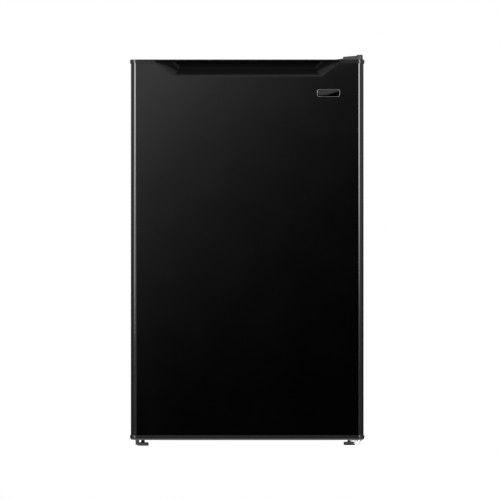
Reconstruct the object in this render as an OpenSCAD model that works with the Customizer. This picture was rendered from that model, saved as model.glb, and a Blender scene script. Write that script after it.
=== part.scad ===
// Compact refrigerator with one door, a pocket handle and an inner freezer box.
// +X is the hinge side, -Y the door side and +Z up. The origin is on the floor under the middle.

/* [Overall size] */
// Width over the door's end caps
total_w = 472; // [464:1:490]
// Depth from the door's front to the condenser's spacers
total_d = 510; // [504:1:530]
// Height from the floor to the top of the hinge cover
total_h = 789; // [785:1:820]

/* [Cabinet] */
// Thickness of the painted steel sheet
sheet_t = 0.8; // [0.6:0.1:1]
// Thickness of each side wall with its insulation
side_wall_t = 41; // [38:1:44]
// Thickness of the top wall with its insulation
top_wall_t = 38; // [34:1:42]
// Thickness of the bottom wall with its insulation
bottom_wall_t = 36; // [32:1:38]
// Thickness of the back wall with its insulation
back_wall_t = 38; // [34:1:42]
// Thickness of the moulded inner liner
liner_t = 1.5; // [1.2:0.1:2]
// Space behind the back panel for the condenser
condenser_zone = 42; // [40:1:46]
// Height of the compressor bay's ceiling
bay_top_z = 190; // [186:1:196]
// Depth of the compressor bay, from the back of the cabinet
bay_depth = 138; // [134:1:142]

/* [Door] */
// Thickness of the door without its seal
door_t = 44; // [42:1:48]
// Height of the door's lower edge above the floor
door_bottom_z = 13.5; // [13.5:0.5:14.5]
// Radius of the door's upright front edges
door_edge_r = 12; // [9:1:13]
// Thickness of the pressed door seal
seal_t = 10.6; // [9:0.2:12]
// Height of the cover over the top hinge, above the door
hinge_cover_h = 10; // [9:0.5:12]
// Diameter of the hinge pins
hinge_pin_d = 8; // [7:0.5:9]

/* [Pocket handle] */
// Width of the pocket at the door's top edge
pocket_top_w = 383; // [360:1:388]
// Width of the pocket at its lower edge
pocket_bottom_w = 297; // [290:1:310]
// Height of the pocket on the door's front
pocket_h = 33; // [30:1:34]
// Depth of the finger space behind the door's front
pocket_depth = 33; // [30:1:35]

/* [Interior] */
// Thickness of the glass shelves
glass_t = 4; // [3:0.5:5]
// Height of the freezer box
freezer_h = 126; // [116:1:130]
// Depth of the freezer box
freezer_d = 220; // [200:1:224]
// Wall thickness of the moulded bins and trays
bin_t = 2; // [1.6:0.2:3]
// Number of long runs of the condenser's tube, an even number
condenser_runs = 12; // [8:2:14]
// Number of wires on each face of the condenser
condenser_wire_count = 31; // [21:2:41]

/* [Feet] */
// Diameter of the foot discs
foot_d = 24; // [20:1:26]
// Height of the foot discs
foot_h = 7; // [6:0.5:8]
// Diameter of the levelling feet's threaded studs
stud_d = 8; // [6:0.5:9]

/* [Hidden] */

$fn = 48;
arc_steps = 6;
run_gap = 0.3;
fit_gap = 0.05;

// Cabinet planes
cabinet_hw = total_w / 2 - 1;
cabinet_front_y = -total_d / 2 + door_t + seal_t + 0.4;
cabinet_back_y = total_d / 2 - condenser_zone;
cabinet_bottom_z = 16;
door_top_z = total_h - hinge_cover_h;
cabinet_top_z = door_top_z - 3;
inner_hw = cabinet_hw - sheet_t;
front_flange_w = 33;
rear_flange_w = 13;
bay_front_y = cabinet_back_y - bay_depth;

// Inner compartment
cavity_hw = cabinet_hw - side_wall_t;
cavity_top_z = cabinet_top_z - top_wall_t;
cavity_bottom_z = cabinet_bottom_z + bottom_wall_t;
cavity_back_y = cabinet_back_y - back_wall_t;
cavity_r = 12;
hump_top_z = bay_top_z + 38;
hump_front_y = bay_front_y - 39;
lip_w = 8;

// Shelves, freezer box and drawer
rail_w = 12;
rail_h = 8;
shelf_front_y = cabinet_front_y + 95;
shelf_hw = cavity_hw - 4;
freezer_top_z = cavity_top_z - 12;
freezer_bottom_z = freezer_top_z - freezer_h;
freezer_hw = cavity_hw - 9;
freezer_front_y = cabinet_front_y + 140;
freezer_sheet_t = 1.5;
flap_axis_y = freezer_front_y - 7.5;
flap_axis_z = freezer_top_z - 13;
flap_pin_d = 5;
tray_top_z = freezer_bottom_z - 10;
tray_h = 20;
lid_z = hump_top_z + 4;
lower_shelf_z = lid_z + (tray_top_z - lid_z) * 0.33;
upper_shelf_z = lid_z + (tray_top_z - lid_z) * 0.645;
drawer_top_z = hump_top_z - 8;

// Thermostat on the right wall
control_y = 10;
control_z = tray_top_z - tray_h - 28;
control_size = [22, 110, 46];
knob_x = cavity_hw - control_size[0];
knob_r = 17;
knob_h = 12;
knob_shaft_d = 14;
button_d = 10;
button_travel = 3;

// Hinges, feet and their places
hinge_x = total_w / 2 - 14;
hinge_y = -total_d / 2 + door_t / 2;
top_screw_places = [[hinge_x - 18, cabinet_front_y + 18], [hinge_x, cabinet_front_y + 36]];
left_foot_place = [-211, cabinet_front_y + 14];
right_foot_place = [207, cabinet_front_y + 46];
bracket_z = [13.6, cabinet_bottom_z];
bracket_screw_y = cabinet_front_y + 62;
bracket_screw_x = 186;
rear_foot_place = [200, cabinet_back_y + 14];

// Door planes
skin_hw = total_w / 2 - 1.7;
door_front_y = -total_d / 2;
skin_front_y = door_front_y + 0.8;
door_back_y = door_front_y + door_t;
skin_z = [door_bottom_z + 9.5, door_top_z - 7.5];
skin_inner_hw = skin_hw - sheet_t;
skin_inner_y = skin_front_y + sheet_t;
cap_wall = 2.4;
cap_tongue = 9.5;
cap_inner_hw = skin_inner_hw - cap_wall;
cap_inner_y = [skin_inner_y + cap_wall, door_back_y - 3];
bushing_d = 14;
seal_outer = [cabinet_hw - 16, [cabinet_bottom_z + 14, cabinet_top_z - 16]];
seal_w = 18;
plateau_hw = cavity_hw - 6;
plateau_z = [cavity_bottom_z + 10, cavity_top_z - 10];
plateau_h = 6;
dyke_x = [cavity_hw - 30, cavity_hw - 12];
dyke_z = [cavity_bottom_z + 18, tray_top_z - 45];
dyke_y = cabinet_front_y + 50;
bin_hw = dyke_x[0] - 2;
bin_y = [door_back_y + plateau_h + 0.2, cabinet_front_y + 90];

// Pocket handle: outline of each step, as half width at the door's top, half width below, lower z
pocket_wall = 2.5;
pocket_bottom_z = door_top_z - pocket_h;
pocket_lip_y = door_front_y + 12;
pocket_back_y = door_front_y + pocket_depth;
pocket_top_z = door_top_z - 2.2;
pocket_outer = [pocket_top_w / 2, pocket_bottom_w / 2, pocket_bottom_z];
pocket_step = [pocket_top_w / 2 - 9, pocket_bottom_w / 2 - 4, pocket_bottom_z + 6];
pocket_inner = [pocket_top_w / 2 - 35, pocket_bottom_w / 2 - 13, pocket_bottom_z + 13];
pocket_floor = [pocket_top_w / 2 - 38, pocket_bottom_w / 2 - 33, pocket_bottom_z - 12];

// Refrigeration parts in the bay and on the back
compressor_place = [70, cabinet_back_y - 53];
can_r = 62;
seam_r = 64.5;
can_z = [36, 66, 140, 176];
plate_z = [cabinet_bottom_z, cabinet_bottom_z + 2];
mount_spread = [70, 32];
stub_x = compressor_place[0] - can_r - 14;
stub_z = 130;
suction_y = compressor_place[1] - 20;
discharge_y = compressor_place[1] + 20;
drier_place = [-150, cabinet_back_y - 13];
drier_z = [80, 150];
seal_place = [-100, cabinet_back_y - 43];
suction_x = seal_place[0] + 5;
capillary_x = seal_place[0] - 6;
tube_end_z = bay_top_z + 14;
tube_d = 5;
tube_y = total_d / 2 - 6.3;
run_x = [-196, 205];
inlet_x = -212;
run_z = [bay_top_z + 35, cabinet_top_z - 41];
wire_d = 1.5;
wire_hw = 187;
wire_z = [bay_top_z + 25, cabinet_top_z - 31];
clip_z = [bay_top_z + 110, cabinet_top_z - 116];
gland_place = [190, 46];
gland_y = cabinet_back_y + 20;

// Screws on the back: x, z and the y their heads sit on
panel_screw_x = cabinet_hw - 6.5;
panel_screws = [for (side = [-1, 1], z = [bay_top_z + 15, (bay_top_z + cabinet_top_z) / 2, cabinet_top_z - 8])
    [side * panel_screw_x, z, cabinet_back_y + sheet_t]];
clip_screws = [for (side = [-1, 1], z = clip_z, step = [-13, 13])
    [side * 208, z + step, cabinet_back_y + sheet_t + 2.2]];
rear_screw_places = concat(panel_screws, clip_screws);

// ---------- Outlines and prisms ----------

// Range of the given half size around a middle
function around(middle, half) = [middle - half, middle + half];

// Round corner of an outline as points on an arc, or its one point when the radius is zero
function corner(x, y, r, start) = r <= 0 ? [[x, y]] :
    [for (i = [0:arc_steps]) [x, y] + r * [cos(start + 90 * i / arc_steps), sin(start + 90 * i / arc_steps)]];

// Rectangle with corner radii, counter-clockwise from the corner where both values are highest
function outline(a, b, r) = concat(
    corner(a[1] - r[0], b[1] - r[0], r[0], 0),
    corner(a[0] + r[1], b[1] - r[1], r[1], 90),
    corner(a[0] + r[2], b[0] + r[2], r[2], 180),
    corner(a[1] - r[3], b[0] + r[3], r[3], 270));

module block(x, y, z) {
    translate([x[0], y[0], z[0]]) cube([x[1] - x[0], y[1] - y[0], z[1] - z[0]]);
}

module plan_prism(x, y, z, r) {
    translate([0, 0, z[0]]) linear_extrude(z[1] - z[0]) polygon(outline(x, y, r));
}

module front_prism(x, y, z, r) {
    translate([0, y[1], 0]) rotate([90, 0, 0]) linear_extrude(y[1] - y[0]) polygon(outline(x, z, r));
}

module side_prism(x, y, z, r) {
    translate([x[0], 0, 0]) rotate([90, 0, 90]) linear_extrude(x[1] - x[0]) polygon(outline(y, z, r));
}

module both_sides() {
    children();
    mirror([1, 0, 0]) children();
}

module upright(place, z, d) {
    translate([place[0], place[1], z[0]]) cylinder(d = d, h = z[1] - z[0]);
}

module along_y(x, z, y, d) {
    translate([x, y[0], z]) rotate([-90, 0, 0]) cylinder(d = d, h = y[1] - y[0]);
}

module along_x(y, z, x, d) {
    translate([x[0], y, z]) rotate([0, 90, 0]) cylinder(d = d, h = x[1] - x[0]);
}

// ---------- Bent tubes ----------

bend_steps = 5;
tube_sides = 8;

function unit(v) = v / norm(v);

// Arc of radius r that rounds corner b of the route a-b-c
function bend(a, b, c, r) =
    let(u = unit(a - b), v = unit(c - b), half = acos(u * v) / 2)
    let(centre = b + unit(u + v) * r / sin(half))
    let(from = b + u * r / tan(half) - centre, to = b + v * r / tan(half) - centre, turn = 180 - 2 * half)
    [for (i = [0:bend_steps])
        centre + (sin(turn * (1 - i / bend_steps)) * from + sin(turn * i / bend_steps) * to) / sin(turn)];

function rounded_route(p, r) = concat(
    [p[0]],
    [for (i = [1:len(p) - 2]) each bend(p[i - 1], p[i], p[i + 1], r)],
    [p[len(p) - 1]]);

function headings(p) = [for (i = [0:len(p) - 1]) unit(p[min(i + 1, len(p) - 1)] - p[max(i - 1, 0)])];

// One side direction per point, carried along the route without twist
function side_ways(t, first) = [
    for (i = 0, s = unit(cross(t[0], first)); i < len(t);
        i = i + 1, s = i < len(t) ? unit(s - (s * t[i]) * t[i]) : s) s];

// Round tube along the route, its corners bent to radius r; first is any direction across its start
module bent_tube(p, d, r, first) {
    route = rounded_route(p, r);
    t = headings(route);
    s = side_ways(t, first);
    last = len(route) - 1;
    points = [for (i = [0:last], k = [0:tube_sides - 1])
        let(w = 360 * k / tube_sides) route[i] + d / 2 * (cos(w) * s[i] + sin(w) * cross(t[i], s[i]))];
    walls = [for (i = [0:last - 1], k = [0:tube_sides - 1])
        let(n = (k + 1) % tube_sides, a = i * tube_sides, b = a + tube_sides) [a + k, b + k, b + n, a + n]];
    first_end = [for (k = [0:tube_sides - 1]) k];
    last_end = [for (k = [tube_sides - 1:-1:0]) last * tube_sides + k];
    polyhedron(points, concat([first_end], walls, [last_end]), convexity = 6);
}

// ---------- Cabinet ----------

module outer_shell() {
    color("#161616") difference() {
        front_prism([-cabinet_hw, cabinet_hw], [cabinet_front_y, cabinet_back_y],
            [cabinet_bottom_z, cabinet_top_z], [4, 4, 0, 0]);
        front_prism([-inner_hw, inner_hw], [cabinet_front_y + sheet_t, cabinet_back_y - sheet_t],
            [cabinet_bottom_z - 1, cabinet_top_z - sheet_t], [3.2, 3.2, 0, 0]);
        block([front_flange_w - cabinet_hw, cabinet_hw - front_flange_w],
            [cabinet_front_y - 1, cabinet_front_y + 2],
            [cabinet_bottom_z - 1, cavity_top_z + lip_w]);
        block([rear_flange_w - cabinet_hw, cabinet_hw - rear_flange_w],
            [cabinet_back_y - 2, cabinet_back_y + 1],
            [cabinet_bottom_z - 1, cabinet_top_z - rear_flange_w]);
        both_sides() top_screw_holes();
        rear_screw_shanks(fit_gap);
    }
}

module top_screw_holes() {
    for (place = top_screw_places)
        upright(place, [cabinet_top_z - 12, cabinet_top_z + 3], 5 + 2 * fit_gap);
}

module base_plate() {
    color("#8f9296") difference() {
        union() {
            block([-inner_hw, inner_hw], [cabinet_front_y + sheet_t, bay_front_y],
                [cabinet_bottom_z, cabinet_bottom_z + sheet_t]);
            block([front_flange_w - cabinet_hw, cabinet_hw - front_flange_w],
                [cabinet_front_y, cabinet_front_y + sheet_t],
                [cabinet_bottom_z, cavity_bottom_z - lip_w]);
        }
        foot_pockets();
        lower_screw_shanks(fit_gap);
    }
}

module foot_pockets() {
    for (place = [left_foot_place, right_foot_place])
        upright(place, [cabinet_bottom_z - 1, cabinet_bottom_z + 14], stud_d + 4);
}

module bay_panel() {
    color("#9a9da1") difference() {
        union() {
            block([-inner_hw, inner_hw], [bay_front_y, bay_front_y + sheet_t],
                [cabinet_bottom_z, bay_top_z + sheet_t]);
            block([-inner_hw, inner_hw], [bay_front_y, cabinet_back_y - sheet_t],
                [bay_top_z, bay_top_z + sheet_t]);
        }
        upright(seal_place, [bay_top_z - 1, bay_top_z + 2], 20.2);
    }
}

module back_panel() {
    color("#2b2c2e") difference() {
        block([-cabinet_hw, cabinet_hw], [cabinet_back_y, cabinet_back_y + sheet_t],
            [bay_top_z - 4, cabinet_top_z]);
        rear_screw_shanks(fit_gap);
    }
}

module insulation_foam() {
    color("#e8d9a0") difference() {
        front_prism([-inner_hw, inner_hw], [cabinet_front_y + sheet_t, cabinet_back_y - sheet_t],
            [cabinet_bottom_z + sheet_t, cabinet_top_z - sheet_t], [3.2, 3.2, 0, 0]);
        cavity(liner_t);
        liner_lip(cabinet_front_y - 1);
        block([-inner_hw - 1, inner_hw + 1], [bay_front_y, cabinet_back_y],
            [cabinet_bottom_z - 1, bay_top_z + sheet_t]);
        block([front_flange_w - cabinet_hw, cabinet_hw - front_flange_w],
            [cabinet_front_y - 1, cabinet_front_y + sheet_t],
            [cabinet_bottom_z, cavity_bottom_z - lip_w]);
        upright(seal_place, [bay_top_z - 1, bay_top_z + 18], 20);
        foot_pockets();
        lower_screw_shanks(fit_gap);
        both_sides() top_screw_holes();
        rear_screw_shanks(fit_gap);
    }
}

// Space inside the liner, with the step over the compressor bay, grown on all sides but the front
module cavity(grow) {
    difference() {
        front_prism([-cavity_hw - grow, cavity_hw + grow], [cabinet_front_y - 1, cavity_back_y + grow],
            [cavity_bottom_z - grow, cavity_top_z + grow], cavity_r * [1, 1, 1, 1]);
        block([-cavity_hw - grow - 1, cavity_hw + grow + 1],
            [hump_front_y + grow, cavity_back_y + grow + 1],
            [cavity_bottom_z - grow - 1, hump_top_z - grow]);
    }
}

module liner_lip(front) {
    front_prism([-cavity_hw - lip_w, cavity_hw + lip_w], [front, cabinet_front_y + liner_t],
        [cavity_bottom_z - lip_w, cavity_top_z + lip_w], [0, 0, 0, 0]);
}

module liner_rails(top_z, front, back) {
    both_sides() block([cavity_hw - rail_w, cavity_hw + liner_t / 2], [front, back], [top_z - rail_h, top_z]);
}

module inner_liner() {
    color("#f1f2f0") union() {
        difference() {
            union() {
                intersection() {
                    cavity(liner_t);
                    block([-total_w, total_w], [cabinet_front_y, total_d], [0, total_h]);
                }
                liner_lip(cabinet_front_y);
            }
            cavity(0);
        }
        liner_rails(upper_shelf_z - run_gap, shelf_front_y + 16, cavity_back_y - 15);
        liner_rails(lower_shelf_z - run_gap, shelf_front_y + 16, cavity_back_y - 15);
        liner_rails(lid_z, shelf_front_y + 16, hump_front_y - 2);
        liner_rails(tray_top_z - 2 - run_gap, freezer_front_y, cavity_back_y - 15);
    }
}

module compressor_plate() {
    color("#7c7f83") difference() {
        union() {
            block([-inner_hw, inner_hw], [bay_front_y + sheet_t, cabinet_back_y - sheet_t], plate_z);
            block([-inner_hw + 14, inner_hw - 14], [bay_front_y + sheet_t, cabinet_back_y + 32], plate_z);
            block([-inner_hw + 14, inner_hw - 14], [cabinet_back_y + 30.5, cabinet_back_y + 32],
                [plate_z[0], plate_z[1] + 8]);
        }
        compressor_mounts(plate_z[0] - 1, plate_z[1] + 1, 6.4);
    }
}

module rear_feet() {
    color("#151515") both_sides() {
        upright(rear_foot_place, [0, 4], foot_d);
        upright(rear_foot_place, [3, cabinet_bottom_z], foot_d - 6);
    }
}

// ---------- Feet and hinges ----------

module levelling_foot(place) {
    upright(place, [0, foot_h], foot_d);
    upright(place, [foot_h - 1, cabinet_bottom_z + 10], stud_d);
}

module levelling_foot_left() {
    color("#141414") levelling_foot(left_foot_place);
}

module levelling_foot_right() {
    color("#141414") levelling_foot(right_foot_place);
}

// Flat plate under a front corner, drilled for the foot's stud and its two screws
module corner_plate(side, foot_place) {
    outer_x = side * (inner_hw - 3);
    inner_x = side * (bracket_screw_x - 16);
    difference() {
        plan_prism([min(outer_x, inner_x), max(outer_x, inner_x)],
            [cabinet_front_y + 1, cabinet_front_y + 78], bracket_z, [4, 4, 1, 1]);
        upright(foot_place, [bracket_z[0] - 1, bracket_z[1] + 1], stud_d + 2 * fit_gap);
        lower_screw_shanks(fit_gap);
    }
}

module left_foot_bracket() {
    color("#181818") {
        corner_plate(-1, left_foot_place);
        block([-226, -218], [cabinet_front_y + 1, cabinet_front_y + 3.4], [2, bracket_z[0] + 1]);
    }
}

module lower_hinge_bracket() {
    arm_z = [door_bottom_z - 3, door_bottom_z - 0.6];
    color("#c9ccd0") {
        difference() {
            union() {
                corner_plate(1, right_foot_place);
                block([hinge_x - 14, hinge_x + 9], [cabinet_front_y - 1.5, cabinet_front_y + 3],
                    [arm_z[0], bracket_z[1]]);
            }
            upright(right_foot_place, [0, bracket_z[1] + 1], stud_d + 2 * fit_gap);
        }
        plan_prism([hinge_x - 14, hinge_x + 9], [hinge_y - 11, cabinet_front_y], arm_z, [0, 0, 8, 8]);
        upright([hinge_x, hinge_y], [arm_z[0] - 0.5, door_bottom_z + 15], hinge_pin_d);
        upright([hinge_x, hinge_y], [5, arm_z[0] + 0.5], hinge_pin_d + 5);
    }
}

module lower_screw_shanks(gap) {
    for (side = [-1, 1], step = [0, 12])
        upright([side * (bracket_screw_x + 2 * step), bracket_screw_y],
            [bracket_z[0] - 1, cabinet_bottom_z + 9], 4.8 + 2 * gap);
}

module lower_bracket_screws() {
    color("#b9bcc0") {
        lower_screw_shanks(0);
        for (side = [-1, 1], step = [0, 12])
            translate([side * (bracket_screw_x + 2 * step), bracket_screw_y, bracket_z[0] - 3.6])
                cylinder(d = 10, h = 3.6, $fn = 6);
    }
}

module top_hinge_bracket() {
    plate = [cabinet_top_z, cabinet_top_z + 2.4];
    arm = [door_top_z + 0.8, door_top_z + 3.2];
    color("#b9bcc0") difference() {
        union() {
            plan_prism([hinge_x - 26, hinge_x + 8], [cabinet_front_y + 4, cabinet_front_y + 46], plate,
                [3, 3, 0, 0]);
            block([hinge_x - 20, hinge_x + 8], [cabinet_front_y + 2, cabinet_front_y + 4.4],
                [plate[0], arm[1]]);
            plan_prism([hinge_x - 20, hinge_x + 8], [hinge_y - 10, cabinet_front_y + 4.4], arm, [0, 0, 6, 6]);
            upright([hinge_x, hinge_y], [door_top_z - 15, arm[1] + 1.5], hinge_pin_d);
        }
        top_screw_holes();
    }
}

module top_hinge_screws() {
    color("#a7aaae") for (place = top_screw_places) {
        upright(place, [cabinet_top_z - 11, cabinet_top_z + 2.4], 5);
        translate([place[0], place[1], cabinet_top_z + 2.4]) cylinder(d = 9.5, h = 3.2, $fn = 6);
    }
}

// Space under the hinge cover's main part, or its outside when grow is the wall
module cover_form(grow) {
    front_prism([hinge_x - 27.5 - grow, hinge_x + 9 + grow],
        [hinge_y - 12 - grow, cabinet_front_y + 49 + grow],
        [cabinet_top_z - 1 - grow, total_h - 1.6 + grow], [3 + grow, 2 + grow, 0, 0]);
}

module top_hinge_cover() {
    color("#191919") difference() {
        union() {
            intersection() {
                cover_form(1.6);
                union() {
                    block([0, total_w], [-total_d, 0], [door_top_z + 0.4, total_h]);
                    block([0, total_w], [cabinet_front_y + 1, 0], [cabinet_top_z, total_h]);
                }
            }
            translate([0, cabinet_front_y + 50.6, 0]) rotate([90, 0, 0]) linear_extrude(44)
                polygon([[hinge_x - 64, cabinet_top_z], [hinge_x - 64, door_top_z + 0.2],
                    [hinge_x - 29, door_top_z + 4], [hinge_x - 28, cabinet_top_z]]);
        }
        cover_form(0);
    }
}

module hinge_hole_plugs() {
    color("#151515") for (place = top_screw_places) {
        upright([-place[0], place[1]], [cabinet_top_z - 6, cabinet_top_z], 5);
        upright([-place[0], place[1]], [cabinet_top_z, cabinet_top_z + 1.6], 10);
    }
}

// ---------- Freezer box, shelves and drawer ----------

module evaporator_box() {
    t = freezer_sheet_t;
    color("#c3c7ca") difference() {
        front_prism([-freezer_hw, freezer_hw], [freezer_front_y, freezer_front_y + freezer_d],
            [freezer_bottom_z, freezer_top_z], 10 * [1, 1, 1, 1]);
        front_prism([t - freezer_hw, freezer_hw - t], [freezer_front_y - 1, freezer_front_y + freezer_d - t],
            [freezer_bottom_z + t, freezer_top_z - t], (10 - t) * [1, 1, 1, 1]);
    }
}

module evaporator_clips() {
    color("#e9eae8") for (side = [-1, 1], y = [60, freezer_d - 40])
        block([side * 150 - 8, side * 150 + 8], [freezer_front_y + y - 8, freezer_front_y + y + 8],
            [freezer_top_z, cavity_top_z]);
}

module freezer_front_frame() {
    color("#eef0ef") difference() {
        front_prism([-freezer_hw - 5, freezer_hw + 5], [freezer_front_y - 12, freezer_front_y],
            [freezer_bottom_z - 5, freezer_top_z + 6], 8 * [1, 1, 1, 1]);
        front_prism([7 - freezer_hw, freezer_hw - 7], [freezer_front_y - 13, freezer_front_y + 1],
            [freezer_bottom_z + 5, freezer_top_z - 6], [0, 0, 3, 3]);
        both_sides() along_x(flap_axis_y, flap_axis_z, [freezer_hw - 8, freezer_hw + 1],
            flap_pin_d + 2 * fit_gap);
    }
}

module freezer_flap() {
    flap_hw = freezer_hw - 7 - 2 * run_gap;
    flap_front_y = flap_axis_y - 3.5;
    color("#dfe6ea") {
        front_prism([-flap_hw, flap_hw], [flap_front_y, flap_front_y + 3],
            [freezer_bottom_z + 6, flap_axis_z + 5.5], [0, 0, 4, 4]);
        block([-flap_hw, flap_hw], [flap_front_y, flap_axis_y + 2.5], [flap_axis_z - 4, flap_axis_z + 5.5]);
        side_prism([-45, 45], [flap_front_y - 8, flap_front_y + 1],
            [freezer_bottom_z + 8, freezer_bottom_z + 14], [0, 2, 2, 0]);
        both_sides() along_x(flap_axis_y, flap_axis_z, [flap_hw - 1, freezer_hw - 1], flap_pin_d);
    }
}

// Open tray with thin walls
module open_box(x, y, z, wall, r) {
    difference() {
        plan_prism(x, y, z, r * [1, 1, 1, 1]);
        plan_prism([x[0] + wall, x[1] - wall], [y[0] + wall, y[1] - wall], [z[0] + wall, z[1] + 1],
            (r - wall / 2) * [1, 1, 1, 1]);
    }
}

module drip_tray() {
    tray_hw = cavity_hw - rail_w - 4;
    tray_y = [freezer_front_y, cavity_back_y - 25];
    color("#e6ecef") {
        open_box([-tray_hw, tray_hw], tray_y, [tray_top_z - tray_h, tray_top_z], bin_t, 8);
        both_sides() block([tray_hw - 1, cavity_hw - 6], [tray_y[0] + 10, tray_y[1] - 10],
            [tray_top_z - 2, tray_top_z]);
    }
}

module shelf_glass(z) {
    block([-shelf_hw, shelf_hw], [shelf_front_y + 7, cavity_back_y - 8], [z, z + glass_t]);
}

module shelf_trim(z) {
    trim_z = [z - 4, z + glass_t + 3];
    difference() {
        union() {
            side_prism([-shelf_hw - 1, shelf_hw + 1], [shelf_front_y, shelf_front_y + 14], trim_z,
                [1, 4, 4, 1]);
            side_prism([-shelf_hw + rail_w, shelf_hw - rail_w], [cavity_back_y - 18, cavity_back_y - 3],
                trim_z, [3, 1, 1, 3]);
        }
        block([-shelf_hw, shelf_hw], [shelf_front_y + 7, cavity_back_y - 8], [z, z + glass_t]);
    }
}

module upper_shelf_glass() {
    color("#bcd8d2", 0.5) shelf_glass(upper_shelf_z);
}

module upper_shelf_trim() {
    color("#f0f1ef") shelf_trim(upper_shelf_z);
}

module lower_shelf_glass() {
    color("#bcd8d2", 0.5) shelf_glass(lower_shelf_z);
}

module lower_shelf_trim() {
    color("#f0f1ef") shelf_trim(lower_shelf_z);
}

module crisper_lid_glass() {
    color("#bcd8d2", 0.5) shelf_glass(lid_z);
}

module crisper_lid_trim() {
    color("#f0f1ef") difference() {
        side_prism([-shelf_hw - 1, shelf_hw + 1], [shelf_front_y, shelf_front_y + 14],
            [lid_z - 4, lid_z + glass_t + 3], [1, 4, 4, 1]);
        shelf_glass(lid_z);
    }
}

module crisper_drawer() {
    drawer_hw = cavity_hw - 10;
    front = shelf_front_y + 8;
    color("#cfe0e4", 0.8) {
        open_box([-drawer_hw, drawer_hw], [front, hump_front_y - 4],
            [cavity_bottom_z + run_gap, drawer_top_z], bin_t + 0.5, 12);
        side_prism([-70, 70], [front - 7, front + 1], [drawer_top_z - 14, drawer_top_z], [0, 3, 3, 0]);
    }
}

// ---------- Thermostat ----------

module thermostat_housing() {
    box_y = [control_y - control_size[1] / 2, control_y + control_size[1] / 2];
    box_z = [control_z - control_size[2] / 2, control_z + control_size[2] / 2];
    color("#f2f2f0") difference() {
        side_prism([knob_x, cavity_hw], box_y, box_z, 6 * [1, 1, 1, 1]);
        side_prism([knob_x + 2, cavity_hw + 1], [box_y[0] + 2, box_y[1] - 2], [box_z[0] + 2, box_z[1] - 2],
            4 * [1, 1, 1, 1]);
        along_x(control_y, control_z, [knob_x - 1, knob_x + 3], knob_shaft_d + 2 * fit_gap);
    }
}

module thermostat_knob() {
    color("#fbfbfa") difference() {
        union() {
            along_x(control_y, control_z, [knob_x - knob_h, knob_x - run_gap], 2 * knob_r);
            along_x(control_y, control_z, [knob_x - 1, knob_x + 6], knob_shaft_d);
            for (w = [0:30:330])
                translate([knob_x - knob_h + 2, control_y + knob_r * cos(w), control_z + knob_r * sin(w)])
                    rotate([0, 90, 0]) cylinder(r = 1.5, h = knob_h - 4);
        }
        along_x(control_y, control_z, [knob_x - knob_h - 1, knob_x + 7], button_d + 2 * fit_gap);
    }
}

module defrost_button() {
    color("#b3261e") along_x(control_y, control_z, [knob_x - knob_h - button_travel, knob_x - button_travel - 0.2], button_d);
}

module thermostat_switch() {
    color("#8a8d90") {
        block([knob_x + 8, cavity_hw - 1], [control_y - 25, control_y + 25], [control_z - 16, control_z + 16]);
        block([knob_x + 10, cavity_hw - 4], [control_y + 25, control_y + 36], [control_z - 4, control_z + 4]);
    }
}

module sensor_bulb() {
    color("#b87a4b") along_y(cavity_hw - 4.5, freezer_bottom_z + 50,
        [freezer_front_y + 60, freezer_front_y + 170], 5);
}

// ---------- Compressor bay and condenser ----------

module compressor_mounts(low, high, d) {
    for (sx = [-1, 1], sy = [-1, 1])
        upright(compressor_place + [sx * mount_spread[0], sy * mount_spread[1]], [low, high], d);
}

module compressor() {
    lower_dome = [for (i = [0:arc_steps]) let(a = 90 * i / arc_steps)
        [can_r * sin(a), can_z[1] - (can_z[1] - can_z[0]) * cos(a)]];
    upper_dome = [for (i = [0:arc_steps]) let(a = 90 * i / arc_steps)
        [can_r * cos(a), can_z[2] + (can_z[3] - can_z[2]) * sin(a)]];
    seam = [[can_r, 98], [seam_r, 98], [seam_r, 104], [can_r, 104]];
    color("#1b1b1d") {
        translate([compressor_place[0], compressor_place[1], 0])
            rotate_extrude() polygon(concat(lower_dome, seam, upper_dome));
        difference() {
            plan_prism(around(compressor_place[0], 84), around(compressor_place[1], 44), [34, 37.5],
                20 * [1, 1, 1, 1]);
            compressor_mounts(33, 39, 7);
        }
        for (y = [suction_y, discharge_y])
            along_x(y, stub_z, [stub_x, compressor_place[0] - 45], 9);
    }
}

module compressor_grommets() {
    color("#101010") difference() {
        compressor_mounts(plate_z[1], 34, 18);
        compressor_mounts(plate_z[1] - 1, 35, 6.4);
    }
}

module compressor_bolts() {
    color("#b9bcc0") {
        compressor_mounts(plate_z[0] + 0.2, 44, 6);
        for (sx = [-1, 1], sy = [-1, 1])
            translate([compressor_place[0] + sx * mount_spread[0],
                compressor_place[1] + sy * mount_spread[1], 37.5]) cylinder(d = 12, h = 4.5, $fn = 6);
    }
}

module relay_cover() {
    color("#121212") difference() {
        side_prism([compressor_place[0] + 48, compressor_place[0] + 95], around(compressor_place[1], 26),
            [78, 138], 5 * [1, 1, 1, 1]);
        upright(compressor_place, [70, 145], 2 * seam_r + 0.4);
    }
}

module discharge_tube() {
    color("#b4693c") bent_tube([[stub_x, discharge_y, stub_z], [stub_x - 34, discharge_y, stub_z],
        [stub_x - 34, tube_y, stub_z], [inlet_x, tube_y, stub_z], [inlet_x, tube_y, stub_z + 30]],
        tube_d, 12, [0, 0, 1]);
}

// Corners of the condenser's tube: up the inlet leg, to and fro across the back, down to the drier
function condenser_route() =
    let(step = (run_z[1] - run_z[0]) / (condenser_runs - 1))
    concat(
        [[inlet_x, tube_y, stub_z + 30], [inlet_x, tube_y, run_z[1]]],
        [for (i = [0:condenser_runs - 2]) let(x = run_x[i % 2 == 0 ? 1 : 0], z = run_z[1] - i * step)
            each [[x, tube_y, z], [x, tube_y, z - step]]],
        [[drier_place[0], tube_y, run_z[0]], [drier_place[0], tube_y, stub_z + 45],
            [drier_place[0], drier_place[1], stub_z + 45], [drier_place[0], drier_place[1], drier_z[1]]]);

module condenser_tube() {
    color("#1d1d1f") bent_tube(condenser_route(), tube_d, 11, [0, 1, 0]);
}

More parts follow.
